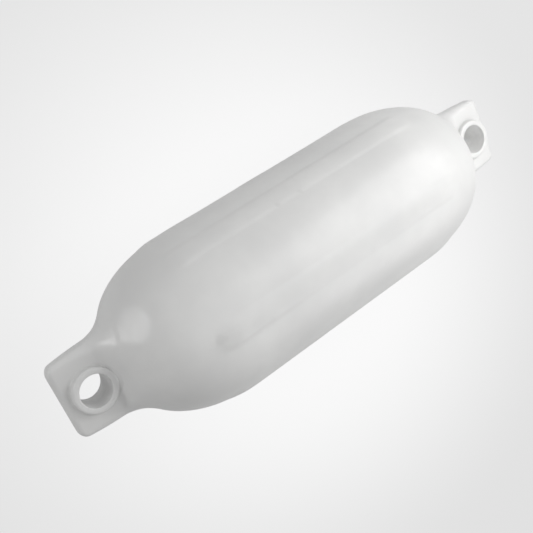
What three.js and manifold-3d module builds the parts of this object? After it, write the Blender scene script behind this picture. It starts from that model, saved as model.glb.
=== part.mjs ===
// Boat fender: an air-filled vinyl skin moulded in one piece, in millimetres, +Z up.
// The fender lies on one of its strips. +X runs along its axis, and the origin is under its middle.
import * as THREE from "three";
import { mergeVertices } from "three/addons/utils/BufferGeometryUtils.js";
import Module from "manifold-3d";

const manifold = await Module();
manifold.setup();

// Driving dimensions of the body
const LENGTH = 560; // over the two tabs
const BODY_DIAMETER = 170.6; // of the skin between the strips
const SHOULDER_INSET = 174; // end face to where the straight body begins
const DOME_LENGTH = 118; // straight body to the dome's pole, along the axis
const DOME_FULLNESS = 2.5; // exponent of the dome's curve: 2 is an ellipse, more is blunter

// Driving dimensions of the eye tabs
const TAB_END_WIDTH = 75; // at the end face, before its corners are rounded
const TAB_ROOT_WIDTH = 80; // where the tab's sides begin to spread towards the dome
const TAB_CORNER_RADIUS = 8; // of the tab's outline, seen from above
const TAB_END_THICKNESS = 14; // at the end face, before its edges are rounded
const TAB_ROOT_THICKNESS = 24; // where the tab's faces begin to rise towards the dome
const TAB_EDGE_RADIUS = 5;
const NECK_DIAMETER = 110; // of the circle where the neck has grown into the dome
const SIDE_NECK_LENGTH = 40; // along the axis, where the tab's sides spread to that circle
const FACE_NECK_LENGTH = 29; // along the axis, where the tab's faces rise to that circle

// Driving dimensions of the rope eyes
const EYE_INSET = 29.5; // end face to the eye's centre
const EYE_HOLE_DIAMETER = 31;
const EYE_RING_DIAMETER = 43;
const EYE_RING_SPAN = 35; // over the two rings of an eye
const EYE_RING_ROUND = 2; // on the ring's outer rim
const EYE_MOUTH_ROUND = 1; // on the rim of the hole

// Driving dimensions of the strips
const STRIP_COUNT = 6;
const STRIP_WIDTH = 24;
const STRIP_RISE = 1; // at the middle of the strip, above the skin
const STRIP_LENGTH = 302;

// How finely the curved surfaces are divided
const SEGMENTS_AROUND_BODY = 60;
const SEGMENTS_AROUND_EYE = 40;
const STEPS_IN_END_ROUND = 4;
const STEPS_IN_NECK = 8;
const STEPS_IN_DOME = 8;
const STEPS_IN_SMALL_ROUND = 2;
const STEPS_IN_STRIP_END = 8;

// Sizes that follow from them
const bodyRadius = BODY_DIAMETER / 2;
const crestHeight = bodyRadius + STRIP_RISE; // axis to the flat top of a strip
const cornerHeight = Math.hypot(crestHeight, STRIP_WIDTH / 2); // axis to the edge of that flat
const domePole = SHOULDER_INSET - DOME_LENGTH; // end face to the dome's pole
const neckEnd = insetOfDome(NECK_DIAMETER / 2); // end face to where the section is a circle
const sidesSpread = neckEnd - SIDE_NECK_LENGTH; // end face to where the sides begin to spread
const facesRise = neckEnd - FACE_NECK_LENGTH; // end face to where the faces begin to rise
const sideSlope = (TAB_ROOT_WIDTH - TAB_END_WIDTH) / 2 / sidesSpread; // of a tab's side
const faceSlope = (TAB_ROOT_THICKNESS - TAB_END_THICKNESS) / 2 / facesRise; // of a tab's face
const faceHeight = EYE_RING_SPAN / 2; // axis to the flat of an eye's ring
const eyeX = LENGTH / 2 - EYE_INSET;

// Curve of the dome from 1 at one end to 0 at the other, the same read along or across
function domeCurve(share) {
  return (1 - Math.min(share, 1) ** DOME_FULLNESS) ** (1 / DOME_FULLNESS);
}

// Radius of the dome at a distance from the end face, 0 outside its pole
function domeRadius(inset) {
  return bodyRadius * domeCurve(Math.max(SHOULDER_INSET - inset, 0) / DOME_LENGTH);
}

// Distance from the end face at which the dome has a radius
function insetOfDome(radius) {
  return SHOULDER_INSET - DOME_LENGTH * domeCurve(radius / bodyRadius);
}

// Radius the dome gains for each millimetre from the end face
function domeSlope(inset) {
  const step = 0.01;
  return (domeRadius(inset + step) - domeRadius(inset - step)) / (2 * step);
}

// Half size of the tab up to start, and from there of the neck that runs into the dome
function halfSizeAt(inset, start, rootSize, slope) {
  if (inset < start) return rootSize - (start - inset) * slope;
  const run = neckEnd - start;
  const share = (inset - start) / run;
  const arrived = share ** 2 * (3 - 2 * share);
  const leaving = share * (1 - share) ** 2 * run * slope;
  const arriving = share ** 2 * (1 - share) * run * domeSlope(neckEnd);
  return THREE.MathUtils.lerp(rootSize, NECK_DIAMETER / 2, arrived) + leaving - arriving;
}

// How far a rounded end draws a side in
function drawnIn(inset, radius) {
  return radius - Math.sqrt(radius ** 2 - Math.max(radius - inset, 0) ** 2);
}

// Rounded rectangle that is the skin's section at a distance from the end face
function sectionAt(inset) {
  if (inset >= neckEnd) {
    const dome = domeRadius(inset);
    return { halfWidth: dome, halfHeight: dome, corner: dome };
  }
  const width = halfSizeAt(inset, sidesSpread, TAB_ROOT_WIDTH / 2, sideSlope);
  const height = halfSizeAt(inset, facesRise, TAB_ROOT_THICKNESS / 2, faceSlope);
  const halfWidth = width - drawnIn(inset, TAB_CORNER_RADIUS);
  const halfHeight = height - drawnIn(inset, TAB_EDGE_RADIUS);
  const full = Math.min(halfWidth, halfHeight);
  const edge = Math.min(TAB_EDGE_RADIUS, full);
  const rounded = THREE.MathUtils.smoothstep(inset, TAB_CORNER_RADIUS, neckEnd);
  return { halfWidth, halfHeight, corner: THREE.MathUtils.lerp(edge, full, rounded) };
}

// Distances from the end face at which the skin has a ring of points, end face to mid-length
function ringInsets() {
  const insets = [];
  for (let i = 0; i <= STEPS_IN_END_ROUND; i += 1) {
    const turn = (Math.PI / 2) * (i / STEPS_IN_END_ROUND);
    insets.push(TAB_CORNER_RADIUS * (1 - Math.cos(turn)));
  }
  for (let i = 0; i < STEPS_IN_NECK; i += 1) {
    insets.push(THREE.MathUtils.lerp(sidesSpread, neckEnd, i / STEPS_IN_NECK));
  }
  for (let i = 0; i <= STEPS_IN_DOME; i += 1) {
    insets.push(THREE.MathUtils.lerp(neckEnd, SHOULDER_INSET, i / STEPS_IN_DOME));
  }
  return insets;
}

// Closed skin: a unit cylinder whose rings are moved out to the section at their place
function skinGeometry() {
  const half = ringInsets();
  const places = half.map((inset) => inset - LENGTH / 2);
  for (const inset of [...half].reverse()) places.push(LENGTH / 2 - inset);
  const steps = places.length - 1;
  const halfStep = Math.PI / SEGMENTS_AROUND_BODY;
  const skin = new THREE.CylinderGeometry(1, 1, 1, SEGMENTS_AROUND_BODY, steps, false, halfStep);
  const points = skin.getAttribute("position");
  for (let i = 0; i < points.count; i += 1) {
    const x = places[Math.round((0.5 - points.getY(i)) * steps)];
    const { halfWidth, halfHeight, corner } = sectionAt(LENGTH / 2 - Math.abs(x));
    const side = points.getX(i);
    const up = points.getZ(i);
    const spread = Math.hypot(side, up) > 0.5 ? 1 : 0; // 0 at the middle of an end face
    const y = spread * (Math.sign(side) * (halfWidth - corner)) + side * corner;
    const z = spread * (Math.sign(up) * (halfHeight - corner)) + up * corner;
    points.setXYZ(i, x, y, z);
  }
  return skin;
}

// Solid of a closed geometry, turned the right way out
function toSolid(geometry) {
  const bare = geometry.clone();
  bare.deleteAttribute("normal");
  bare.deleteAttribute("uv");
  const merged = mergeVertices(bare, 1e-4);
  const vertProperties = new Float32Array(merged.getAttribute("position").array);
  const triVerts = new Uint32Array(merged.getIndex().array);
  return new manifold.Manifold(new manifold.Mesh({ numProp: 3, vertProperties, triVerts }));
}

// Geometry of a solid, with flat faces
function toGeometry(solid) {
  const mesh = solid.getMesh();
  const geometry = new THREE.BufferGeometry();
  geometry.setAttribute("position", new THREE.BufferAttribute(mesh.vertProperties, 3));
  geometry.setIndex(new THREE.BufferAttribute(mesh.triVerts, 1));
  geometry.computeVertexNormals();
  return geometry;
}

// Dome and body a strip's rise larger than the skin, which trims the strips to follow the domes
function stripEnvelope() {
  const rise = cornerHeight - bodyRadius;
  const profile = [new THREE.Vector2(0, LENGTH / 2 - domePole + rise)];
  for (let i = 1; i <= STEPS_IN_DOME; i += 1) {
    const inset = THREE.MathUtils.lerp(domePole, SHOULDER_INSET, i / STEPS_IN_DOME);
    profile.push(new THREE.Vector2(domeRadius(inset) + rise, LENGTH / 2 - inset));
  }
  for (const point of [...profile].reverse()) profile.push(new THREE.Vector2(point.x, -point.y));
  const envelope = new THREE.LatheGeometry(profile.reverse(), SEGMENTS_AROUND_BODY);
  return toSolid(envelope.rotateZ(-Math.PI / 2));
}

// Upright prism over a strip's round-ended outline, from inside the body to the flat top
function stripPrism() {
  const half = STRIP_WIDTH / 2;
  const reach = STRIP_LENGTH / 2 - half;
  const outline = new THREE.Shape();
  outline.absarc(reach, 0, half, -Math.PI / 2, Math.PI / 2, false);
  outline.absarc(-reach, 0, half, Math.PI / 2, (3 * Math.PI) / 2, false);
  const depth = crestHeight - bodyRadius / 2;
  const options = { depth, bevelEnabled: false, curveSegments: STEPS_IN_STRIP_END };
  return new THREE.ExtrudeGeometry(outline, options).translate(0, 0, bodyRadius / 2);
}

// Raised ring on one face of a tab, lying round the Z axis at the middle of the eye
function eyeRing() {
  const outer = EYE_RING_DIAMETER / 2;
  const profile = [new THREE.Vector2(0, 0), new THREE.Vector2(outer, 0)];
  for (let i = 0; i <= STEPS_IN_SMALL_ROUND; i += 1) {
    const turn = (Math.PI / 2) * (i / STEPS_IN_SMALL_ROUND);
    const r = outer - EYE_RING_ROUND * (1 - Math.cos(turn));
    profile.push(new THREE.Vector2(r, faceHeight - EYE_RING_ROUND * (1 - Math.sin(turn))));
  }
  profile.push(new THREE.Vector2(0, faceHeight));
  return new THREE.LatheGeometry(profile, SEGMENTS_AROUND_EYE).rotateX(Math.PI / 2);
}

// What the rope hole takes away: a straight bore with a rounded mouth at both faces
function eyeHole() {
  const r = EYE_HOLE_DIAMETER / 2;
  const upper = [];
  for (let i = 0; i <= STEPS_IN_SMALL_ROUND; i += 1) {
    const turn = (Math.PI / 2) * (i / STEPS_IN_SMALL_ROUND);
    const x = r + EYE_MOUTH_ROUND * (1 - Math.cos(turn));
    upper.push(new THREE.Vector2(x, faceHeight - EYE_MOUTH_ROUND * (1 - Math.sin(turn))));
  }
  upper.push(new THREE.Vector2(r + EYE_MOUTH_ROUND, EYE_RING_SPAN));
  upper.push(new THREE.Vector2(0, EYE_RING_SPAN));
  const lower = [...upper].reverse().map((point) => new THREE.Vector2(point.x, -point.y));
  const profile = [...lower, ...upper];
  return new THREE.LatheGeometry(profile, SEGMENTS_AROUND_EYE).rotateX(Math.PI / 2);
}

// Skin, strips, rings and holes joined into the one moulded piece
function fenderSolid() {
  let solid = toSolid(skinGeometry());
  const envelope = stripEnvelope();
  for (let i = 0; i < STRIP_COUNT; i += 1) {
    const turn = (2 * Math.PI * i) / STRIP_COUNT;
    const strip = toSolid(stripPrism().rotateX(turn)).intersect(envelope);
    solid = solid.add(strip);
  }
  for (const x of [-eyeX, eyeX]) {
    solid = solid.add(toSolid(eyeRing().translate(x, 0, 0)));
    solid = solid.add(toSolid(eyeRing().rotateX(Math.PI).translate(x, 0, 0)));
    solid = solid.subtract(toSolid(eyeHole().translate(x, 0, 0)));
  }
  return solid;
}

const vinyl = new THREE.MeshStandardMaterial({ color: 0xeeeeec, roughness: 0.4, metalness: 0 });
const fender = new THREE.Mesh(toGeometry(fenderSolid()), vinyl);
fender.name = "fender_body";
fender.position.set(0, 0, crestHeight);

const part = new THREE.Group();
part.add(fender);
export default part;
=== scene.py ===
"""Boat fender of white vinyl, lying on one of its strips on a pale floor.

Lengths are in metres and +Z is up. +X runs along the fender's axis, which is level.
"""

import logging
import math
from dataclasses import dataclass, field
from enum import Enum

import bmesh
import bpy
import numpy as np
from mathutils import Matrix, Vector


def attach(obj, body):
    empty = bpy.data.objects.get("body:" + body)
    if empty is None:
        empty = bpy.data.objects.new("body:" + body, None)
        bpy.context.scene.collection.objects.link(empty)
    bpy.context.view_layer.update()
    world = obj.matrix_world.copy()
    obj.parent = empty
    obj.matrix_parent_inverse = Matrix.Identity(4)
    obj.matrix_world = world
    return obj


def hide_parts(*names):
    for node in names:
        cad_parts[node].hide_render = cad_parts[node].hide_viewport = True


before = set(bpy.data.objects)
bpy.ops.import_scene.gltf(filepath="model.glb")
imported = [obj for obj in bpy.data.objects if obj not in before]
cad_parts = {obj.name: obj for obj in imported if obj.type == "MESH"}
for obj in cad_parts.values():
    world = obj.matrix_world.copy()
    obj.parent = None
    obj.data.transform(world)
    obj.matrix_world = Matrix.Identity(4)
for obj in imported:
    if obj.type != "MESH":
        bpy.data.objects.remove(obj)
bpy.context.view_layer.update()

log = logging.getLogger("fender")

Socket = bpy.types.NodeSocket
Feed = Socket | float | tuple[float, ...] | bpy.types.Material | None


class End(Enum):
    """The two ends of the fender, as the sign of X."""

    NEAR = -1
    FAR = 1


class Face(Enum):
    """The two faces of an eye tab, as the sign of Z."""

    UPPER = 1
    LOWER = -1


class Kind(Enum):
    """What a socket of a node group carries."""

    FLOAT = "NodeSocketFloat"
    INTEGER = "NodeSocketInt"
    VECTOR = "NodeSocketVector"
    GEOMETRY = "NodeSocketGeometry"
    MATERIAL = "NodeSocketMaterial"


class Writer:
    """Adds nodes to one node tree and links them."""

    def __init__(self, tree: bpy.types.NodeTree) -> None:
        """Takes the tree that the nodes go into."""
        self.tree = tree

    def feed(self, socket: Socket, value: Feed) -> None:
        """Links a socket to another, or sets its own value.

        Args:
            socket: The input to fill.
            value: An output to link from, a constant, or None to leave the input as it is.
        """
        if isinstance(value, Socket):
            self.tree.links.new(value, socket)
        elif value is not None:
            socket.default_value = value

    def node(
        self, kind: str, inputs: dict[str | int, Feed] | None = None, **settings: object
    ) -> bpy.types.Node:
        """Adds a node.

        Args:
            kind: Blender's name for the type of node.
            inputs: Values for the inputs, by name or number.
            **settings: Properties of the node itself.

        Returns:
            The new node.
        """
        made = self.tree.nodes.new(kind)
        for name, value in settings.items():
            setattr(made, name, value)
        for name, value in (inputs or {}).items():
            self.feed(made.inputs[name], value)
        return made

    def math(self, operation: str, *values: Feed) -> Socket:
        """Adds a Math node and returns its result."""
        inputs = dict(enumerate(values))
        return self.node("ShaderNodeMath", inputs, operation=operation).outputs[0]

    def vector_math(self, operation: str, *values: Feed) -> Socket:
        """Adds a Vector Math node and returns its result, a number for a length."""
        made = self.node("ShaderNodeVectorMath", dict(enumerate(values)), operation=operation)
        return made.outputs["Value" if operation == "LENGTH" else "Vector"]

    def ramp(
        self, value: Feed, start: Feed, end: Feed, low: Feed = 0.0, high: Feed = 1.0
    ) -> Socket:
        """Adds a smooth step from low at start to high at end.

        Args:
            value: What the step reads.
            start: Where the step begins.
            end: Where the step ends.
            low: The result up to the start.
            high: The result past the end.

        Returns:
            The stepped value.
        """
        inputs = {"Value": value, "From Min": start, "From Max": end, "To Min": low, "To Max": high}
        made = self.node("ShaderNodeMapRange", inputs, interpolation_type="SMOOTHSTEP")
        return made.outputs["Result"]

    def tint(self, share: Feed, colour: Feed, other: Feed) -> Socket:
        """Adds a mix of two colours, all the other colour where the share is 1, and returns it."""
        made = self.node("ShaderNodeMix", {0: share, 6: colour, 7: other}, data_type="RGBA")
        return made.outputs[2]

    def group(self, tree: bpy.types.NodeTree, **inputs: Feed) -> bpy.types.Node:
        """Places a shader node group.

        Args:
            tree: The group's tree.
            **inputs: Values by socket name, with underscores for spaces.

        Returns:
            The group's node.
        """
        made = self.node("ShaderNodeGroup", node_tree=tree)
        for name, value in inputs.items():
            self.feed(made.inputs[name.replace("_", " ")], value)
        return made


def new_tree(
    name: str,
    kind: str,
    inputs: dict[str, tuple[Kind, float | int | tuple[float, ...] | None]],
    outputs: dict[str, Kind],
) -> tuple[Writer, bpy.types.Node, bpy.types.Node]:
    """Makes an empty node group with named sockets.

    Args:
        name: The group's name.
        kind: Blender's name for the type of tree.
        inputs: For each input, what it carries and its default.
        outputs: For each output, what it carries.

    Returns:
        A writer for the tree, its input node and its output node.
    """
    tree = bpy.data.node_groups.new(name, kind)
    for label, (carried, default) in inputs.items():
        socket = tree.interface.new_socket(label, in_out="INPUT", socket_type=carried.value)
        if default is not None:
            socket.default_value = default
    for label, carried in outputs.items():
        tree.interface.new_socket(label, in_out="OUTPUT", socket_type=carried.value)
    writer = Writer(tree)
    return writer, writer.node("NodeGroupInput"), writer.node("NodeGroupOutput")


def smooth_step(value: float, start: float, end: float) -> float:
    """Smooth step from 0 at start to 1 at end."""
    share = min(max((value - start) / (end - start), 0.0), 1.0)
    return share * share * (3 - 2 * share)


@dataclass(frozen=True)
class Body:
    """Round body with a blunt dome at each end."""

    length: float = 0.560
    radius: float = 0.08515
    axis_height: float = 0.0863
    shoulder_inset: float = 0.174
    dome_length: float = 0.118
    dome_fullness: float = 2.5

    def curve(self, share: float) -> float:
        """Curve of the dome from 1 at one end to 0 at the other, the same along or across."""
        return (1 - min(share, 1.0) ** self.dome_fullness) ** (1 / self.dome_fullness)

    def radius_at(self, inset: float) -> float:
        """Radius at a distance from the end face, 0 outside the dome's pole."""
        return self.radius * self.curve(max(self.shoulder_inset - inset, 0.0) / self.dome_length)

    def inset_of(self, radius: float) -> float:
        """Distance from the end face at which the dome has a radius."""
        return self.shoulder_inset - self.dome_length * self.curve(radius / self.radius)

    def slope_at(self, inset: float) -> float:
        """How much the radius grows for each metre from the end face."""
        step = 1e-5
        return (self.radius_at(inset + step) - self.radius_at(inset - step)) / (2 * step)

    def normal_at(self, point: np.ndarray) -> np.ndarray:
        """Outward direction of the dome or the body at a point given about the axis."""
        slope = self.slope_at(self.length / 2 - abs(point[0]))
        around = math.hypot(point[1], point[2])
        normal = np.array([math.copysign(slope, point[0]), point[1] / around, point[2] / around])
        return normal / np.linalg.norm(normal)


@dataclass(frozen=True)
class EyeTab:
    """Wedge-shaped tab at each end, which grows through a neck into the dome."""

    end_width: float = 0.075
    root_width: float = 0.080
    corner_radius: float = 0.008
    end_thickness: float = 0.014
    root_thickness: float = 0.024
    edge_radius: float = 0.005
    neck_radius: float = 0.055
    side_neck: float = 0.040
    face_neck: float = 0.031
    rounded_inset: float = 0.062

    @staticmethod
    def drawn_in(inset: float, radius: float) -> float:
        """How far a rounded end draws a side in."""
        return radius - math.sqrt(radius**2 - max(radius - inset, 0.0) ** 2)


@dataclass(frozen=True)
class Dent:
    """Shallow dent in the skin, or a low bulge where its depth is negative."""

    place: tuple[float, float, float]
    reach: float
    depth: float

    def press(self, points: np.ndarray, body: Body) -> np.ndarray:
        """Presses the dent into points given about the axis.

        Args:
            points: Points of the skin, one in each row.
            body: The body that the dent is in.

        Returns:
            The moved points.
        """
        away = np.linalg.norm(points - np.array(self.place), axis=1) / self.reach
        share = np.clip(1 - away**2, 0.0, 1.0) ** 2
        return points - np.outer(share * self.depth, body.normal_at(np.array(self.place)))


@dataclass(frozen=True)
class RingPoint:
    """One point of a rope eye's profile, and how exposed or hidden it is.

    Its height is a share of the way from the tab's face to the ring's flat, plus an offset.
    """

    radius: float
    share: float
    offset: float = 0.0
    # How much the point is lightened, as wear and as painted light, and how hidden it is, which
    # sets its painted shade.
    rim: float = 0.0
    crevice: float = 0.0


@dataclass(frozen=True)
class RopeEye:
    """Rope hole through a tab, with a raised ring round it on both faces."""

    inset: float = 0.0295
    hole_radius: float = 0.0155
    ring_radius: float = 0.0215
    span: float = 0.035
    ring_round: float = 0.0024
    mouth_round: float = 0.0010
    root_fillet: float = 0.0024
    patch_radius: float = 0.0248
    least_rise: float = 0.0008
    round_share: float = 0.42
    # Painted light: the rope hole's wall is tinted strongly towards the pale colour, lightening a
    # wall that lies in shade.
    wall_painted_light: float = 4.0
    flat_rubbed: float = 0.15
    # Painted shade: the ring's foot, fillet and side are tinted towards the dark colour, where
    # shade falls between the ring and the tab's face.
    foot_shade: float = 0.6
    fillet_shade: float = 0.4
    side_shade: float = 0.3
    steps: int = 4
    wall_steps: int = 5

    def height(self, point: RingPoint, face: float) -> float:
        """Height of a point of the profile over the middle of the tab.

        Args:
            point: The point.
            face: Height of the tab's face there, which may come close to the ring's flat.

        Returns:
            The height, in metres.
        """
        flat = self.span / 2
        if point.radius <= self.hole_radius + self.mouth_round:
            return flat + point.offset
        rise = max(flat - face, self.least_rise)
        squeezed = min(1.0, self.round_share * rise / max(self.ring_round, self.root_fillet))
        return face + rise * point.share + point.offset * squeezed

    def profile(self) -> list[RingPoint]:
        """Half of the eye's profile, from the face of the tab to the middle of the hole.

        Returns:
            The points in order, outside to inside.
        """
        quarter = [math.pi / 2 * i / self.steps for i in range(self.steps + 1)]
        points = []
        for turn in quarter:
            radius = self.ring_radius + self.root_fillet * (1 - math.sin(turn))
            offset = self.root_fillet * (1 - math.cos(turn))
            # Painted shade, darkest in the middle of the fillet.
            painted_shade = self.foot_shade + self.fillet_shade * math.sin(2 * turn)
            points.append(RingPoint(radius, 0.0, offset, crevice=painted_shade))
        points.append(RingPoint(self.ring_radius, 0.5, crevice=self.side_shade))
        for turn in quarter:
            radius = self.ring_radius - self.ring_round * (1 - math.cos(turn))
            offset = -self.ring_round * (1 - math.sin(turn))
            # The rounds are lightened: partly wear, partly a painted highlight on the edge.
            points.append(RingPoint(radius, 1.0, offset, rim=math.sin(2 * turn)))
        middle = (self.ring_radius - self.ring_round + self.hole_radius + self.mouth_round) / 2
        points.append(RingPoint(middle, 1.0, rim=self.flat_rubbed))
        for turn in reversed(quarter):
            radius = self.hole_radius + self.mouth_round * (1 - math.cos(turn))
            offset = -self.mouth_round * (1 - math.sin(turn))
            points.append(RingPoint(radius, 1.0, offset, rim=math.sin(2 * turn)))
        foot = self.span / 2 - self.mouth_round
        for i in range(1, self.wall_steps):
            share = i / self.wall_steps
            lowered = -self.mouth_round - foot * share
            points.append(RingPoint(self.hole_radius, 1.0, lowered, rim=self.wall_painted_light))
        return points


@dataclass(frozen=True)
class Section:
    """Rounded rectangle that is the skin's section at one place along the axis."""

    half_width: float
    half_height: float
    corner: float

    def points(self, shares: np.ndarray) -> np.ndarray:
        """Points round the section.

        Args:
            shares: Places round the section from 0 to 4, where 0 is its top and 1 is its +Y side.

        Returns:
            An array of Y and Z, one row for each place.
        """
        flat = self.half_width - self.corner
        bend = self.corner * math.pi / 2
        upright = self.half_height - self.corner
        quarter = np.floor(shares)
        within = shares - quarter
        odd = quarter % 2 == 1
        within = np.where(odd, 1 - within, within)
        run = within * (flat + bend + upright)
        turn = np.clip((run - flat) / self.corner, 0.0, math.pi / 2)
        across = np.minimum(run, flat) + self.corner * np.sin(turn)
        up = upright + self.corner * np.cos(turn) - np.maximum(run - flat - bend, 0.0)
        side = np.where(shares < 2, 1.0, -1.0)
        top = np.where((quarter == 0) | (quarter == 3), 1.0, -1.0)
        return np.stack([side * across, top * up], axis=1)

    def height_at(self, across: float) -> float:
        """Height of the section over its middle, at a distance to the side."""
        into_corner = max(abs(across) - (self.half_width - self.corner), 0.0)
        drop = self.corner - math.sqrt(self.corner**2 - min(into_corner, self.corner) ** 2)
        return self.half_height - drop

    def edge_share(self, points: np.ndarray) -> np.ndarray:
        """How far each point lies on a rounded corner: 1 in the corner's middle, 0 on a flat."""
        across = (np.abs(points[:, 0]) - (self.half_width - self.corner)) / self.corner
        up = (np.abs(points[:, 1]) - (self.half_height - self.corner)) / self.corner
        return np.clip(2 * np.minimum(across, up), 0.0, 1.0)


@dataclass(frozen=True)
class Strips:
    """Low strips along the body, moulded in one with the skin."""

    count: int = 6
    width: float = 0.024
    length: float = 0.302
    crest_height: float = 0.0863
    end_rise: float = 0.0012
    end_fade: float = 0.022
    edge: float = 0.0075
    flatness: float = -1.05
    slackness: float = 0.0006
    slack_scale: float = 13.0
    seed: float = 4.0
    end_strength: float = 0.35
    blend: float = 0.001
    slack_range: tuple[float, float] = (0.30, 0.70)
    slack_fade: tuple[float, float] = (0.225, 0.190)

    def tree(self) -> bpy.types.NodeTree:
        """Builds the geometry tree that raises the strips over a bare skin.

        Returns:
            The tree, whose named inputs are the sizes.
        """
        inputs = {
            "Skin": (Kind.GEOMETRY, None),
            "Strips": (Kind.INTEGER, 1),
            "Axis Height": (Kind.FLOAT, 0.0),
            "Width": (Kind.FLOAT, 0.0),
            "Length": (Kind.FLOAT, 0.0),
            "Crest Height": (Kind.FLOAT, 0.0),
            "End Rise": (Kind.FLOAT, 0.0),
            "End Fade": (Kind.FLOAT, 0.0),
            "Edge": (Kind.FLOAT, 0.0),
            "Flatness": (Kind.FLOAT, 0.0),
            "Slackness": (Kind.FLOAT, 0.0),
            "Slack Scale": (Kind.FLOAT, 1.0),
            "Seed": (Kind.FLOAT, 0.0),
            "Finish": (Kind.MATERIAL, None),
        }
        tree, given, result = new_tree(
            "raised_strips", "GeometryNodeTree", inputs, {"Skin": Kind.GEOMETRY}
        )
        size = given.outputs
        position = tree.node("GeometryNodeInputPosition").outputs[0]
        place = tree.node("ShaderNodeSeparateXYZ", {0: position})
        along, side = place.outputs["X"], place.outputs["Y"]
        up = tree.math("SUBTRACT", place.outputs["Z"], size["Axis Height"])
        squared = tree.math("MULTIPLY", side, side)
        squares = tree.math("ADD", squared, tree.math("MULTIPLY", up, up))
        radius = tree.math("MAXIMUM", tree.math("SQRT", squares), 1e-6)
        turn = tree.math("ARCTAN2", side, up)
        pitch = tree.math("DIVIDE", math.tau, size["Strips"])
        number = tree.math("ROUND", tree.math("DIVIDE", turn, pitch))
        off = tree.math("SUBTRACT", turn, tree.math("MULTIPLY", number, pitch))
        across = tree.math("MULTIPLY", radius, tree.math("SINE", off))

        half = tree.math("MULTIPLY", size["Width"], 0.5)
        reach = tree.math("SUBTRACT", tree.math("MULTIPLY", size["Length"], 0.5), half)
        from_middle = tree.math("ABSOLUTE", along)
        beyond = tree.math("MAXIMUM", tree.math("SUBTRACT", from_middle, reach), 0.0)
        sideways = tree.math("MULTIPLY", across, across)
        spread = tree.math("ADD", tree.math("MULTIPLY", beyond, beyond), sideways)
        outside = tree.math("SUBTRACT", tree.math("SQRT", spread), half)
        soft = tree.math("MULTIPLY", size["Edge"], 0.5)
        outline = tree.ramp(outside, tree.math("MULTIPLY", soft, -1.0), soft, 1.0, 0.0)
        strip_end = tree.math("MULTIPLY", size["Length"], 0.5)
        fade_start = tree.math("SUBTRACT", strip_end, size["End Fade"])
        fading = tree.ramp(from_middle, fade_start, strip_end, 1.0, self.end_strength)
        mask = tree.math("MULTIPLY", outline, fading)

        lean = tree.math("POWER", tree.math("COSINE", off), size["Flatness"])
        flat = tree.math("DIVIDE", size["Crest Height"], lean)
        over_dome = tree.math("ADD", radius, size["End Rise"])
        top = tree.math("SMOOTH_MIN", flat, over_dome, self.blend)
        above = tree.math("MAXIMUM", tree.math("SUBTRACT", top, radius), 0.0)
        rise = tree.math("MULTIPLY", above, mask)

        noise = tree.node(
            "ShaderNodeTexNoise",
            {"W": size["Seed"], "Scale": size["Slack Scale"], "Detail": 1.0},
            noise_dimensions="4D",
        )
        uneven = tree.ramp(noise.outputs[0], *self.slack_range)
        on_body = tree.ramp(from_middle, *self.slack_fade)
        open_skin = tree.math("MULTIPLY", tree.math("SUBTRACT", 1.0, mask), on_body)
        sagging = tree.math("MULTIPLY", uneven, open_skin)
        slack = tree.math("MULTIPLY", sagging, size["Slackness"])
        new_radius = tree.math("SUBTRACT", tree.math("ADD", radius, rise), slack)
        moved = tree.math("DIVIDE", new_radius, radius)
        height = tree.math("ADD", tree.math("MULTIPLY", up, moved), size["Axis Height"])
        new_side = tree.math("MULTIPLY", side, moved)
        new_place = tree.node("ShaderNodeCombineXYZ", {"X": along, "Y": new_side, "Z": height})

        keep_mask = tree.node(
            "GeometryNodeStoreNamedAttribute",
            {"Geometry": size["Skin"], "Name": "strip", "Value": mask},
            data_type="FLOAT",
            domain="POINT",
        )
        shaped = tree.node(
            "GeometryNodeSetPosition",
            {"Geometry": keep_mask.outputs[0], "Position": new_place.outputs[0]},
        )
        smooth = tree.node("GeometryNodeSetShadeSmooth", {"Geometry": shaped.outputs[0]})
        real = tree.node("GeometryNodeRealizeInstances", {"Geometry": smooth.outputs[0]})
        dressed = tree.node(
            "GeometryNodeSetMaterial", {"Geometry": real.outputs[0], "Material": size["Finish"]}
        )
        tree.feed(result.inputs["Skin"], dressed.outputs[0])
        return tree.tree

    def raise_on(
        self, skin: bpy.types.Object, body: Body, finish: bpy.types.Material
    ) -> bpy.types.Object:
        """Raises the strips on a bare skin and makes the result a plain mesh.

        Args:
            skin: The bare skin, which is used up.
            body: The body that the skin has.
            finish: The material of the whole piece.

        Returns:
            The finished piece.
        """
        modifier = skin.modifiers.new("strips", "NODES")
        modifier.node_group = self.tree()
        values = {
            "Strips": self.count,
            "Axis Height": body.axis_height,
            "Width": self.width,
            "Length": self.length,
            "Crest Height": self.crest_height,
            "End Rise": self.end_rise,
            "End Fade": self.end_fade,
            "Edge": self.edge,
            "Flatness": self.flatness,
            "Slackness": self.slackness,
            "Slack Scale": self.slack_scale,
            "Seed": self.seed,
            "Finish": finish,
        }
        for item in modifier.node_group.interface.items_tree:
            if item.in_out == "INPUT" and item.name in values:
                modifier[item.identifier] = values[item.name]
        evaluated = skin.evaluated_get(bpy.context.evaluated_depsgraph_get())
        mesh = bpy.data.meshes.new_from_object(evaluated)
        name = skin.name
        bpy.data.objects.remove(skin)
        mesh.name = name
        piece = bpy.data.objects.new(name, mesh)
        bpy.context.scene.collection.objects.link(piece)
        return piece


@dataclass(frozen=True)
class Smudge:
    """One soiled or rubbed place on the skin, darker than the rest."""

    place: tuple[float, float, float]
    reach: tuple[float, float, float]
    strength: float
    raggedness: float = 0.9


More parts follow.
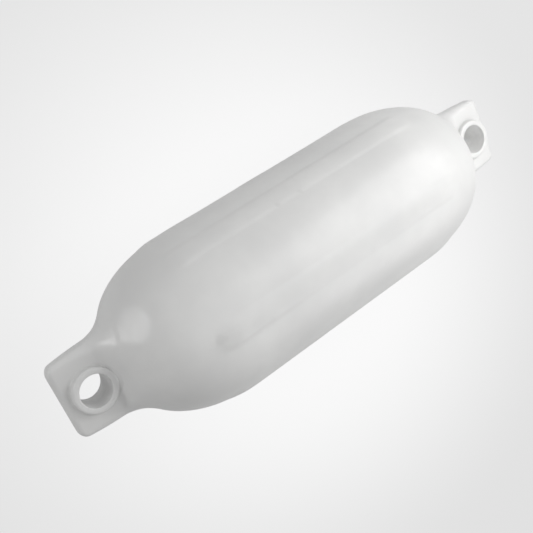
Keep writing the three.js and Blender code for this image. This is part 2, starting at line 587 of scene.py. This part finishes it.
@dataclass(frozen=True)
class WhiteVinyl:
    """Semi-gloss white vinyl, softly clouded, with a moulded grain, a little dirt, rims lightened
    partly by wear and partly as painted light, and painted shade in the eyes' crevices.
    """

    name: str = "white_vinyl"
    colour: tuple[float, float, float, float] = (0.80, 0.80, 0.79, 1.0)
    thin_colour: tuple[float, float, float, float] = (0.72, 0.72, 0.715, 1.0)
    # Dark tint for real dirt in the smudges and for painted shade in the eyes' crevices.
    dirt_and_shade_colour: tuple[float, float, float, float] = (0.42, 0.42, 0.41, 1.0)
    # Pale tint for worn rims, partly a painted highlight on rounded edges, and painted light on the
    # rope holes' walls.
    rubbed_and_lit_colour: tuple[float, float, float, float] = (0.89, 0.89, 0.885, 1.0)
    roughness: tuple[float, float] = (0.31, 0.39)
    sheen_scale: float = 17.0
    strip_scuffing: float = 0.08
    refraction: float = 1.5
    cloud_scale: float = 11.0
    cloud_share: float = 0.75
    fine_cloud_scale: float = 60.0
    fine_cloud_share: float = 0.22
    cloud_range: tuple[float, float] = (0.32, 0.68)
    cloud_detail: float = 3.0
    grain_detail: float = 2.0
    grain_strength: float = 0.35
    grain_depth: float = 0.0001
    patch_detail: float = 4.0
    smudge_scale: float = 190.0
    smudge_range: tuple[float, float] = (0.25, 1.0)
    wear_and_shade_scale: float = 75.0
    wear_and_shade_range: tuple[float, float] = (0.35, 0.65)
    least_wear_and_shade: float = 0.25
    rubbed_and_lit_amount: float = 0.25
    # Strength of the painted shade in the crevices.
    painted_shade_amount: float = 0.30
    smudges: tuple[Smudge, ...] = (
        Smudge((-0.149, 0.002, 0.1685), (0.010, 0.008, 0.02), 0.13),
        Smudge((-0.143, -0.004, 0.1685), (0.022, 0.014, 0.03), 0.08),
        Smudge((-0.106, -0.006, 0.1720), (0.020, 0.012, 0.03), 0.07),
        Smudge((-0.0295, 0.068, 0.136), (0.0042, 0.0036, 0.008), 0.13),
        Smudge((-0.002, 0.068, 0.136), (0.0036, 0.0032, 0.008), 0.12),
    )

    def clouding(self) -> bpy.types.NodeTree:
        """Builds the group that varies a value softly over the surface."""
        inputs = {
            "Vector": (Kind.VECTOR, None),
            "Scale": (Kind.FLOAT, 10.0),
            "Low": (Kind.FLOAT, 0.0),
            "High": (Kind.FLOAT, 1.0),
        }
        tree, given, result = new_tree("clouding", "ShaderNodeTree", inputs, {"Value": Kind.FLOAT})
        noise = tree.node(
            "ShaderNodeTexNoise",
            {
                "Vector": given.outputs["Vector"],
                "Scale": given.outputs["Scale"],
                "Detail": self.cloud_detail,
            },
        )
        ends = given.outputs["Low"], given.outputs["High"]
        value = tree.ramp(noise.outputs[0], *self.cloud_range, *ends)
        tree.feed(result.inputs["Value"], value)
        return tree.tree

    def grain(self) -> bpy.types.NodeTree:
        """Builds the group for the fine pebbling that the mould leaves on vinyl."""
        inputs = {
            "Vector": (Kind.VECTOR, None),
            "Fine Scale": (Kind.FLOAT, 900.0),
            "Broad Scale": (Kind.FLOAT, 140.0),
            "Broad Share": (Kind.FLOAT, 0.5),
        }
        tree, given, result = new_tree(
            "moulded_grain", "ShaderNodeTree", inputs, {"Height": Kind.FLOAT}
        )
        fine, broad = (
            tree.node(
                "ShaderNodeTexNoise",
                {
                    "Vector": given.outputs["Vector"],
                    "Scale": given.outputs[scale],
                    "Detail": self.grain_detail,
                },
            )
            for scale in ("Fine Scale", "Broad Scale")
        )
        weighted = tree.math("MULTIPLY", broad.outputs[0], given.outputs["Broad Share"])
        tree.feed(result.inputs["Height"], tree.math("ADD", fine.outputs[0], weighted))
        return tree.tree

    def smudging(self) -> bpy.types.NodeTree:
        """Builds the group for one ragged soiled place."""
        inputs = {
            "Vector": (Kind.VECTOR, None),
            "Place": (Kind.VECTOR, None),
            "Reach": (Kind.VECTOR, (1.0, 1.0, 1.0)),
            "Raggedness": (Kind.FLOAT, 0.5),
            "Strength": (Kind.FLOAT, 1.0),
        }
        tree, given, result = new_tree("smudging", "ShaderNodeTree", inputs, {"Mask": Kind.FLOAT})
        size = given.outputs
        away = tree.vector_math("SUBTRACT", size["Vector"], size["Place"])
        distance = tree.vector_math("LENGTH", tree.vector_math("DIVIDE", away, size["Reach"]))
        noise = tree.node(
            "ShaderNodeTexNoise",
            {"Vector": size["Vector"], "Scale": self.smudge_scale, "Detail": self.patch_detail},
        )
        centred = tree.math("SUBTRACT", noise.outputs[0], 0.5)
        ragged = tree.math("MULTIPLY", centred, size["Raggedness"])
        mask = tree.ramp(tree.math("ADD", distance, ragged), *self.smudge_range, 1.0, 0.0)
        tree.feed(result.inputs["Mask"], tree.math("MULTIPLY", mask, size["Strength"]))
        return tree.tree

    def wear_and_shade(self) -> bpy.types.NodeTree:
        """Builds the group that breaks up the lightened rims, worn and partly painted light, and
        the painted shade in crevices.
        """
        inputs = {
            "Vector": (Kind.VECTOR, None),
            "Rim": (Kind.FLOAT, 0.0),
            "Crevice": (Kind.FLOAT, 0.0),
            "Rubbed Amount": (Kind.FLOAT, 0.5),
            "Grime Amount": (Kind.FLOAT, 0.5),
        }
        outputs = {"Rubbed And Lit": Kind.FLOAT, "Painted Shade": Kind.FLOAT}
        tree, given, result = new_tree("wear_and_shade", "ShaderNodeTree", inputs, outputs)
        size = given.outputs
        noise = tree.node(
            "ShaderNodeTexNoise",
            {"Vector": size["Vector"], "Scale": self.wear_and_shade_scale, "Detail": self.patch_detail},
        )
        patchy = tree.ramp(noise.outputs[0], *self.wear_and_shade_range, self.least_wear_and_shade, 1.0)
        for label, mask, amount in (
            ("Rubbed And Lit", size["Rim"], size["Rubbed Amount"]),
            ("Painted Shade", size["Crevice"], size["Grime Amount"]),
        ):
            broken = tree.math("MULTIPLY", mask, patchy)
            tree.feed(result.inputs[label], tree.math("MULTIPLY", broken, amount))
        return tree.tree

    def material(self) -> bpy.types.Material:
        """Builds the material.

        Returns:
            The material, which reads Object coordinates and the skin's own attributes.
        """
        made = bpy.data.materials.new(self.name)
        made.use_nodes = True
        shader = made.node_tree.nodes["Principled BSDF"]
        tree = Writer(made.node_tree)
        place = tree.node("ShaderNodeTexCoord").outputs["Object"]
        mask = {
            name: tree.node("ShaderNodeAttribute", attribute_name=name).outputs["Fac"]
            for name in ("rim", "crevice", "strip")
        }
        clouding, smudging = self.clouding(), self.smudging()
        colour = self.colour
        for scale, share in (
            (self.cloud_scale, self.cloud_share),
            (self.fine_cloud_scale, self.fine_cloud_share),
        ):
            cloud = tree.group(clouding, Vector=place, Scale=scale, Low=0.0, High=share)
            colour = tree.tint(cloud.outputs[0], colour, self.thin_colour)
        worn_lit_and_shaded = tree.group(
            self.wear_and_shade(), Vector=place, Rim=mask["rim"], Crevice=mask["crevice"],
            Rubbed_Amount=self.rubbed_and_lit_amount, Grime_Amount=self.painted_shade_amount,
        )
        # Lightened rims: wear, partly a painted highlight on rounded edges, and painted light on
        # the rope holes' walls.
        colour = tree.tint(worn_lit_and_shaded.outputs["Rubbed And Lit"], colour, self.rubbed_and_lit_colour)
        # Painted shade at the foot and side of each eye's ring.
        colour = tree.tint(worn_lit_and_shaded.outputs["Painted Shade"], colour, self.dirt_and_shade_colour)
        for smudge in self.smudges:
            soiled = tree.group(
                smudging, Vector=place, Place=smudge.place, Reach=smudge.reach,
                Raggedness=smudge.raggedness, Strength=smudge.strength,
            )
            colour = tree.tint(soiled.outputs[0], colour, self.dirt_and_shade_colour)
        tree.feed(shader.inputs["Base Color"], colour)

        low, high = self.roughness
        sheen = tree.group(clouding, Vector=place, Scale=self.sheen_scale, Low=low, High=high)
        scuffed = tree.math("MULTIPLY_ADD", mask["strip"], self.strip_scuffing, sheen.outputs[0])
        tree.feed(shader.inputs["Roughness"], scuffed)
        shader.inputs["IOR"].default_value = self.refraction
        height = tree.group(self.grain(), Vector=place).outputs[0]
        bump = tree.node(
            "ShaderNodeBump",
            {"Strength": self.grain_strength, "Distance": self.grain_depth, "Height": height},
        )
        tree.feed(shader.inputs["Normal"], bump.outputs[0])
        return made


@dataclass
class FenderSkin:
    """The whole fender: body, tabs, rope eyes and strips in one skin."""

    body: Body = field(default_factory=Body)
    tab: EyeTab = field(default_factory=EyeTab)
    eye: RopeEye = field(default_factory=RopeEye)
    strips: Strips = field(default_factory=Strips)
    finish: WhiteVinyl = field(default_factory=WhiteVinyl)
    dents: tuple[Dent, ...] = (
        Dent((-0.2010, 0.0440, 0.0415), 0.021, 0.0015),
        Dent((-0.1960, 0.0360, 0.0520), 0.015, 0.0006),
        Dent((-0.2150, 0.0415, 0.0227), 0.0065, 0.0005),
        Dent((-0.2161, 0.0380, 0.0260), 0.0065, 0.0005),
        Dent((-0.2171, 0.0348, 0.0280), 0.0065, 0.0004),
    )
    around: int = 240
    end_steps: int = 8
    ring_steps: tuple[tuple[float, float], ...] = (
        (0.036, 0.0013), (0.075, 0.0014), (0.120, 0.0020), (0.142, 0.0011), (0.170, 0.0030),
    )
    body_step: float = 0.0060
    edge_samples: int = 7201
    edge_density: float = 4.0
    edge_reach_deg: float = 1.8
    gathering: tuple[float, float] = (0.060, 0.115)
    edge_fade: tuple[float, float] = (0.036, 0.066)

    def half_size(self, inset: float, neck: float, end_size: float, root_size: float) -> float:
        """Half size of the tab, and of the neck that runs from it into the dome.

        Args:
            inset: Distance from the end face.
            neck: Length of the neck along the axis.
            end_size: The tab's size at the end face.
            root_size: The tab's size where the neck begins.

        Returns:
            The half size before the tab's end is rounded.
        """
        end = self.body.inset_of(self.tab.neck_radius)
        start = end - neck
        slope = (root_size - end_size) / 2 / start
        root = root_size / 2
        if inset < start:
            return root - (start - inset) * slope
        share = (inset - start) / neck
        arrived = share**2 * (3 - 2 * share)
        leaving = share * (1 - share) ** 2 * neck * slope
        arriving = share**2 * (1 - share) * neck * self.body.slope_at(end)
        return root + (self.tab.neck_radius - root) * arrived + leaving - arriving

    def section_at(self, inset: float) -> Section:
        """Section of the skin at a distance from the end face."""
        tab = self.tab
        neck_end = self.body.inset_of(tab.neck_radius)
        if inset >= neck_end:
            dome = self.body.radius_at(inset)
            return Section(dome, dome, dome)
        half_width = self.half_size(inset, tab.side_neck, tab.end_width, tab.root_width)
        half_width -= tab.drawn_in(inset, tab.corner_radius)
        half_height = self.half_size(inset, tab.face_neck, tab.end_thickness, tab.root_thickness)
        half_height -= tab.drawn_in(inset, tab.edge_radius)
        full = min(half_width, half_height)
        edge = min(tab.edge_radius, full)
        rounded = smooth_step(inset, tab.corner_radius, tab.rounded_inset)
        return Section(half_width, half_height, edge + (full - edge) * rounded)

    def insets(self) -> list[float]:
        """Distances from the end face of the skin's rings of points, end face to mid-length."""
        corner = self.tab.corner_radius
        turns = [math.pi / 2 * i / self.end_steps for i in range(self.end_steps + 1)]
        places = [corner * (1 - math.cos(turn)) for turn in turns]
        for end, step in (*self.ring_steps, (self.body.length / 2, self.body_step)):
            start = places[-1]
            count = round((end - start) / step)
            places += [start + (end - start) * i / count for i in range(1, count + 1)]
        return places

    def shares(self, inset: float) -> np.ndarray:
        """Places of a ring's points round the section, from 0 to 4.

        They are even at the tab, and closer together at the edges of the strips on the body.

        Args:
            inset: Distance of the ring from the end face.

        Returns:
            The places, in order from the top towards +Y.
        """
        even = np.arange(self.around) / self.around
        angles = np.linspace(0.0, 1.0, self.edge_samples)
        pitch = 1 / self.strips.count
        off = np.abs(angles - pitch * np.round(angles / pitch)) * math.tau
        edge = math.asin(self.strips.width / 2 / self.strips.crest_height)
        from_edge = (off - edge) / math.radians(self.edge_reach_deg)
        density = 1 + self.edge_density * np.exp(-(from_edge**2))
        summed = np.concatenate([[0.0], np.cumsum((density[1:] + density[:-1]) / 2)])
        close = np.interp(even, summed / summed[-1], angles)
        share = smooth_step(inset, *self.gathering)
        return 4 * (even + (close - even) * share)

    def rings(self) -> tuple[np.ndarray, np.ndarray]:
        """Points of the skin before the eyes are cut.

        Returns:
            The points by ring and place round it, and each one's share in a rounded tab edge.
        """
        half = self.insets()
        insets = half + half[-2::-1]
        rings, rims = [], []
        for number, inset in enumerate(insets):
            section = self.section_at(inset)
            flat = section.points(self.shares(inset))
            x = inset - self.body.length / 2
            if number >= len(half):
                x = -x
            ring = np.column_stack([np.full(self.around, x), flat])
            for dent in self.dents:
                ring = dent.press(ring, self.body)
            rings.append(ring)
            on_tab = 1 - smooth_step(inset, *self.edge_fade)
            # Rounded tab edges are lightened through the rim tint: partly wear, partly a painted
            # highlight.
            rims.append(section.edge_share(flat) * on_tab)
        return np.array(rings), np.array(rims)

    def bare_skin(self) -> bpy.types.Object:
        """Builds the closed skin with its rope eyes and without its strips.

        Returns:
            An object whose mesh stores how much each point is lightened, as wear and as painted
            light, and how hidden it is, which sets its painted shade.
        """
        rings, rims = self.rings()
        count, around = rings.shape[:2]
        points = [tuple(point) for point in rings.reshape(-1, 3)]
        rim = list(rims.reshape(-1))
        crevice = [0.0] * len(points)
        cells = {
            (s, k): (s * around + k, s * around + (k + 1) % around,
                     (s + 1) * around + (k + 1) % around, (s + 1) * around + k)
            for s in range(count - 1) for k in range(around)
        }
        faces = []
        for end in End:
            loops = []
            for face in Face:
                loops.append(self.open_face(points, cells, end, face))
            faces += self.fill_eye(points, rim, crevice, end, loops)
        faces += list(cells.values())
        faces += self.end_faces(0, around) + self.end_faces((count - 1) * around, around)
        return self.mesh_object(points, faces, rim, crevice)

    def eye_x(self, end: End) -> float:
        """Place of an eye along the axis."""
        return end.value * (self.body.length / 2 - self.eye.inset)

    def open_face(
        self,
        points: list[tuple[float, float, float]],
        cells: dict[tuple[int, int], tuple[int, ...]],
        end: End,
        face: Face,
    ) -> list[int]:
        """Cuts a round opening in a tab's face, and moves its edge onto a true circle.

        Args:
            points: All points, some of which are moved.
            cells: The skin's cells, some of which are taken out.
            end: The end that the tab is at.
            face: The tab's face.

        Returns:
            The points of the opening's edge, in order of their angle.
        """
        centre = self.eye_x(end)
        cut = []
        for key, corners in cells.items():
            middle = np.mean([points[i] for i in (corners[0], corners[2])], axis=0)
            away = math.hypot(middle[0] - centre, middle[1])
            if middle[2] * face.value > 0 and away < self.eye.patch_radius:
                cut.append(key)
        edges = set()
        for key in cut:
            corners = cells.pop(key)
            for first, second in zip(corners, corners[1:] + corners[:1]):
                if (second, first) in edges:
                    edges.remove((second, first))
                else:
                    edges.add((first, second))
        loop = sorted(
            {i for edge in edges for i in edge},
            key=lambda i: math.atan2(points[i][1], points[i][0] - centre),
        )
        for i in loop:
            x, y, _ = points[i]
            scale = self.eye.patch_radius / math.hypot(x - centre, y)
            x, y = centre + (x - centre) * scale, y * scale
            points[i] = (x, y, face.value * self.face_height(x, y))
        return loop

    def face_height(self, x: float, y: float) -> float:
        """Height of a tab's face over the middle of the tab."""
        return self.section_at(self.body.length / 2 - abs(x)).height_at(y)

    def fill_eye(
        self,
        points: list[tuple[float, float, float]],
        rim: list[float],
        crevice: list[float],
        end: End,
        loops: list[list[int]],
    ) -> list[tuple[int, ...]]:
        """Builds one rope eye between the openings in the two faces of its tab.

        Args:
            points: All points, which the eye's points are added to.
            rim: How much each point is lightened, as wear and as painted light, added to as well.
            crevice: How hidden each point is, which sets its painted shade, added to as well.
            end: The end that the eye is at.
            loops: Edges of the upper and of the lower opening.

        Returns:
            The eye's faces.
        """
        centre = self.eye_x(end)
        angles = [math.atan2(points[i][1], points[i][0] - centre) for i in loops[0]]
        half = self.eye.profile()
        depth = self.eye.span / 2
        middle = RingPoint(self.eye.hole_radius, 1.0, -depth, rim=self.eye.wall_painted_light)
        profile = [(point, 1) for point in half + [middle]]
        profile += [(point, -1) for point in reversed(half)]
        rings = [loops[0]]
        for point, side in profile:
            start = len(points)
            for angle in angles:
                x, y = centre + point.radius * math.cos(angle), point.radius * math.sin(angle)
                points.append((x, y, side * self.eye.height(point, self.face_height(x, y))))
            rim += [point.rim] * len(angles)
            crevice += [point.crevice] * len(angles)
            rings.append(list(range(start, len(points))))
        rings.append(loops[1])
        size = len(angles)
        return [
            (outer[i], outer[(i + 1) % size], inner[(i + 1) % size], inner[i])
            for outer, inner in zip(rings, rings[1:])
            for i in range(size)
        ]

    @staticmethod
    def end_faces(start: int, around: int) -> list[tuple[int, ...]]:
        """Closes an end face with cells from its upper to its lower edge.

        Args:
            start: The first point of the end's ring.
            around: How many points the ring has.

        Returns:
            The faces.
        """
        quarter, half = around // 4, around // 2
        faces = []
        for k in range(-quarter, quarter):
            corners = [k, k + 1, half - k - 1, half - k]
            unique = list(dict.fromkeys(c % around for c in corners))
            faces.append(tuple(start + c for c in unique))
        return faces

    def mesh_object(
        self,
        points: list[tuple[float, float, float]],
        faces: list[tuple[int, ...]],
        rim: list[float],
        crevice: list[float],
    ) -> bpy.types.Object:
        """Makes an object of points and faces, without the points that no face uses.

        Args:
            points: Points about the axis.
            faces: Faces by the numbers of their points.
            rim: How much each point is lightened, as wear and as painted light.
            crevice: How hidden each point is, which sets its painted shade.

        Returns:
            The object, standing at the body's height, with its faces turned outwards.
        """
        used = sorted({i for face in faces for i in face})
        number = {old: new for new, old in enumerate(used)}
        lift = self.body.axis_height
        mesh = bpy.data.meshes.new("fender_skin")
        mesh.from_pydata(
            [(points[i][0], points[i][1], points[i][2] + lift) for i in used],
            [],
            [tuple(number[i] for i in face) for face in faces],
        )
        for name, values in (("rim", rim), ("crevice", crevice)):
            stored = mesh.attributes.new(name, "FLOAT", "POINT")
            stored.data.foreach_set("value", np.array([values[i] for i in used], dtype=np.float32))
        turn_outwards(mesh)
        piece = bpy.data.objects.new("fender_skin", mesh)
        bpy.context.scene.collection.objects.link(piece)
        return piece

    def build(self) -> bpy.types.Object:
        """Builds and dresses the fender, and puts it in place of its plain solid.

        Returns:
            The finished piece.
        """
        finish = self.finish.material()
        piece = self.strips.raise_on(self.bare_skin(), self.body, finish)
        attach(piece, "root")
        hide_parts("fender_body")
        report(piece)
        return piece


def turn_outwards(mesh: bpy.types.Mesh) -> None:
    """Turns the faces of a closed mesh outwards."""
    work = bmesh.new()
    work.from_mesh(mesh)
    bmesh.ops.recalc_face_normals(work, faces=work.faces)
    work.to_mesh(mesh)
    work.free()


def report(piece: bpy.types.Object) -> None:
    """Logs a finished piece's name and size."""
    triangles = sum(len(face.vertices) - 2 for face in piece.data.polygons)
    size = ", ".join(f"{1000 * side:.1f}" for side in piece.dimensions)
    log.info("%s: %d triangles, %s mm", piece.name, triangles, size)


@dataclass(frozen=True)
class Lamp:
    """Soft round lamp, aimed at a point, whose beam can be narrowed."""

    name: str
    place: tuple[float, float, float]
    aim: tuple[float, float, float]
    side: float
    watts: float
    spread: float = math.pi

    def build(self) -> bpy.types.Object:
        """Builds the lamp and returns its object."""
        light = bpy.data.lights.new(self.name, "AREA")
        light.shape = "DISK"
        light.size = self.side
        light.energy = self.watts
        light.spread = self.spread
        lamp = bpy.data.objects.new(self.name, light)
        lamp.location = self.place
        lamp.visible_camera = False
        direction = Vector(self.aim) - Vector(self.place)
        lamp.rotation_euler = direction.to_track_quat("-Z", "Y").to_euler()
        bpy.context.scene.collection.objects.link(lamp)
        log.info("%s: %.4f W", self.name, self.watts)
        return lamp


@dataclass(frozen=True)
class Studio:
    """Pale floor, soft lamps, dim surroundings and the camera."""

    lamps: tuple[Lamp, ...] = (
        Lamp("main_lamp", (0.46, 0.18, 0.62), (0.12, 0.02, 0.08), 0.58, 2.85),
        Lamp("low_lamp", (-0.99, 0.57, 0.18), (-0.20, 0.04, 0.12), 0.32, 1.6),
        Lamp("side_lamp", (0.30, -0.38, 0.44), (0.08, 0.00, 0.08), 0.40, 0.65),
        Lamp("near_lamp", (-0.16, 0.05, 0.50), (-0.15, 0.02, 0.10), 0.30, 0.15),
        Lamp(
            "far_lamp", (-0.20, 0.20, 0.80), (0.26, 0.00, 0.09), 0.10, 0.0038,
            spread=math.radians(16),
        ),
    )
    surroundings: float = 0.39
    mirrored_share: float = 0.2
    floor_side: float = 8.0
    floor_colour: tuple[float, float, float, float] = (0.72, 0.72, 0.72, 1.0)
    floor_lift: float = 0.89
    # Painted pool of light on the floor: its glow is full round this spot and falls to the edge
    # level further out.
    floor_bright_spot: tuple[float, float, float] = (0.009, -0.050, 0.0)
    floor_bright_reach: tuple[float, float] = (0.10, 0.44)
    floor_edge_level: float = 0.79
    floor_roughness: float = 0.9
    floor_shine: float = 0.1
    background: float = 0.85
    camera_place: tuple[float, float, float] = (-0.375055, 0.280710, 0.791076)
    camera_look: tuple[float, float, float] = (0.402837, -0.335520, -0.851557)
    camera_up: tuple[float, float, float] = (0.504589, 0.857640, -0.099216)
    lens: float = 56.018
    sensor_width: float = 36.0
    clip_start: float = 0.02

    def camera(self) -> bpy.types.Object:
        """Builds the camera and makes it the scene's own."""
        data = bpy.data.cameras.new("camera")
        data.sensor_width = self.sensor_width
        data.lens = self.lens
        data.clip_start = self.clip_start
        camera = bpy.data.objects.new("camera", data)
        look = Vector(self.camera_look).normalized()
        right = look.cross(Vector(self.camera_up)).normalized()
        up = right.cross(look)
        turn = Matrix((right, up, -look)).transposed().to_4x4()
        camera.matrix_world = Matrix.Translation(self.camera_place) @ turn
        bpy.context.scene.collection.objects.link(camera)
        bpy.context.scene.camera = camera
        return camera

    def seen(self, tree: Writer) -> Socket:
        """Adds the share of a ray that shows the background as it is drawn.

        Args:
            tree: The writer of the material or world that asks.

        Returns:
            1 for a camera ray, the mirrored share for a glossy or transmission ray, or else 0.
        """
        rays = tree.node("ShaderNodeLightPath").outputs
        mirrored = tree.math("MAXIMUM", rays["Is Glossy Ray"], rays["Is Transmission Ray"])
        mirrored = tree.math("MULTIPLY", mirrored, self.mirrored_share)
        return tree.math("MAXIMUM", rays["Is Camera Ray"], mirrored)

    def floor(self) -> bpy.types.Object:
        """Builds the floor, which is lifted to white where it is looked at directly, with a painted
        pool of light round the fender that dims towards the edges.
        """
        material = bpy.data.materials.new("pale_floor")
        material.use_nodes = True
        tree = Writer(material.node_tree)
        matt = material.node_tree.nodes["Principled BSDF"]
        matt.inputs["Base Color"].default_value = self.floor_colour
        matt.inputs["Roughness"].default_value = self.floor_roughness
        matt.inputs["Specular IOR Level"].default_value = self.floor_shine
        place = tree.node("ShaderNodeTexCoord").outputs["Object"]
        bearing = math.atan2(self.camera_look[1], self.camera_look[0])
        from_spot = tree.node(
            "ShaderNodeMapping",
            {
                "Vector": place,
                "Location": self.floor_bright_spot,
                "Rotation": (0.0, 0.0, bearing),
                "Scale": (-1 / self.camera_look[2], 1.0, 1.0),
            },
            vector_type="TEXTURE",
        )
        # Painted pool of light: the glow dims with distance from the bright spot.
        distance = tree.vector_math("LENGTH", from_spot.outputs[0])
        level = tree.ramp(distance, *self.floor_bright_reach, 1.0, self.floor_edge_level)
        glow = tree.node("ShaderNodeEmission", {"Strength": level})
        share = tree.math("MULTIPLY", self.seen(tree), self.floor_lift)
        mixed = tree.node(
            "ShaderNodeMixShader", {0: share, 1: matt.outputs[0], 2: glow.outputs[0]}
        )
        tree.feed(material.node_tree.nodes["Material Output"].inputs["Surface"], mixed.outputs[0])
        half = self.floor_side / 2
        mesh = bpy.data.meshes.new("floor")
        mesh.from_pydata(
            [(-half, -half, 0.0), (half, -half, 0.0), (half, half, 0.0), (-half, half, 0.0)],
            [],
            [(0, 1, 2, 3)],
        )
        mesh.materials.append(material)
        floor = bpy.data.objects.new("floor", mesh)
        bpy.context.scene.collection.objects.link(floor)
        return floor

    def world(self) -> None:
        """Builds the surroundings: dim as light, pale as a background."""
        world = bpy.data.worlds.new("surroundings")
        bpy.context.scene.world = world
        world.use_nodes = True
        tree = Writer(world.node_tree)
        background = world.node_tree.nodes["Background"]
        background.inputs["Color"].default_value = (1.0, 1.0, 1.0, 1.0)
        lift = self.background - self.surroundings
        strength = tree.math("MULTIPLY_ADD", self.seen(tree), lift, self.surroundings)
        tree.feed(background.inputs["Strength"], strength)

    def build(self) -> None:
        """Builds everything round the fender."""
        self.camera()
        self.floor()
        self.world()
        for lamp in self.lamps:
            lamp.build()
        bpy.context.scene.view_settings.view_transform = "Standard"


def main() -> None:
    logging.basicConfig(level=logging.INFO, format="%(name)s: %(message)s")
    Studio().build()
    FenderSkin().build()


if __name__ == "__main__":
    main()
